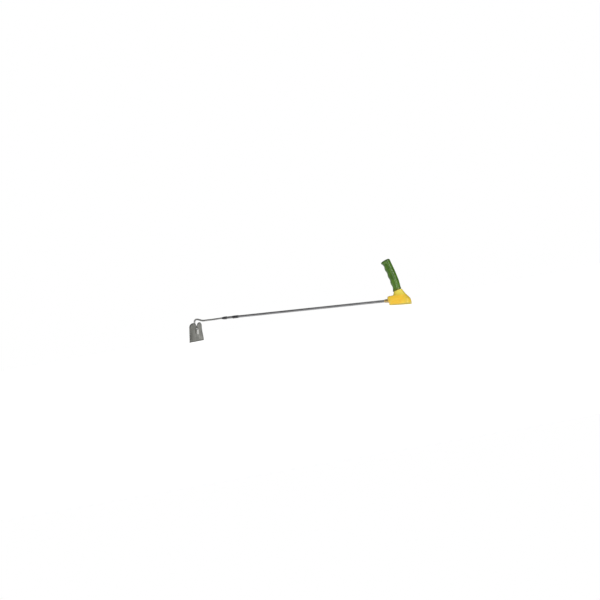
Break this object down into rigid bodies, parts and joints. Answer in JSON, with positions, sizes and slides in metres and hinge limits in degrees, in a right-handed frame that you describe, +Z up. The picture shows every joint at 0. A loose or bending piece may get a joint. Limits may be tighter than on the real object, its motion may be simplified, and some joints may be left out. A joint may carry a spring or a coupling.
{
  "type": "long-reach hand hoe",
  "caption": "One-handed long-reach weeding hoe: two-lobed steel draw blade on a swan-necked rod, thin steel shaft, and an upright green pistol grip on a yellow moulded base.",
  "frame": {"origin": "middle of the overall box, on the surface that the blade's cutting edge and the handle's heel stand on", "axes": "+Z up, with the grip upright; +X from the blade towards the handle; +Y across the tool, which is symmetric about Y = 0"},
  "size_m": [0.7814, 0.0896, 0.1476],
  "materials": {
    "blade_steel": "bare pressed steel, ground along its cutting edge",
    "rod_steel": "drawn round bar, bare",
    "weld_steel": "rough weld metal with a grey heat tint",
    "tube_steel": "thin-walled steel tube, dull bright finish",
    "dark_steel": "blackened pressed steel sleeves and rivets",
    "screw_steel": "zinc-plated pin and screws",
    "ferrule": "dull tan-gold collar",
    "yellow_plastic": "satin injection-moulded polypropylene",
    "nylon": "black nylon inside the handle",
    "grip_rubber": "soft-touch green thermoplastic rubber, slightly glossy",
    "cap_plastic": "dark green moulded end cap"
  },
  "bodies": {
    "root": {"blade": "blade_steel", "tang": "rod_steel", "weld_left": "weld_steel", "weld_right": "weld_steel", "shaft_tube": "tube_steel", "mouth_ferrule": "dark_steel", "crimp_sleeve": "dark_steel", "rivet_front": "dark_steel", "rivet_rear": "dark_steel", "nose_ferrule": "ferrule", "handle_body": "yellow_plastic", "base_cover": "yellow_plastic", "cover_screw_left": "screw_steel", "cover_screw_right": "screw_steel", "cover_screw_rear": "screw_steel", "clamp_saddle": "nylon", "clamp_screw_left": "screw_steel", "clamp_screw_right": "screw_steel", "anchor_pin": "screw_steel", "tube_plug": "nylon", "grip_sleeve": "grip_rubber", "grip_cap": "cap_plastic", "grip_screw": "screw_steel"}
  },
  "joints": []
}
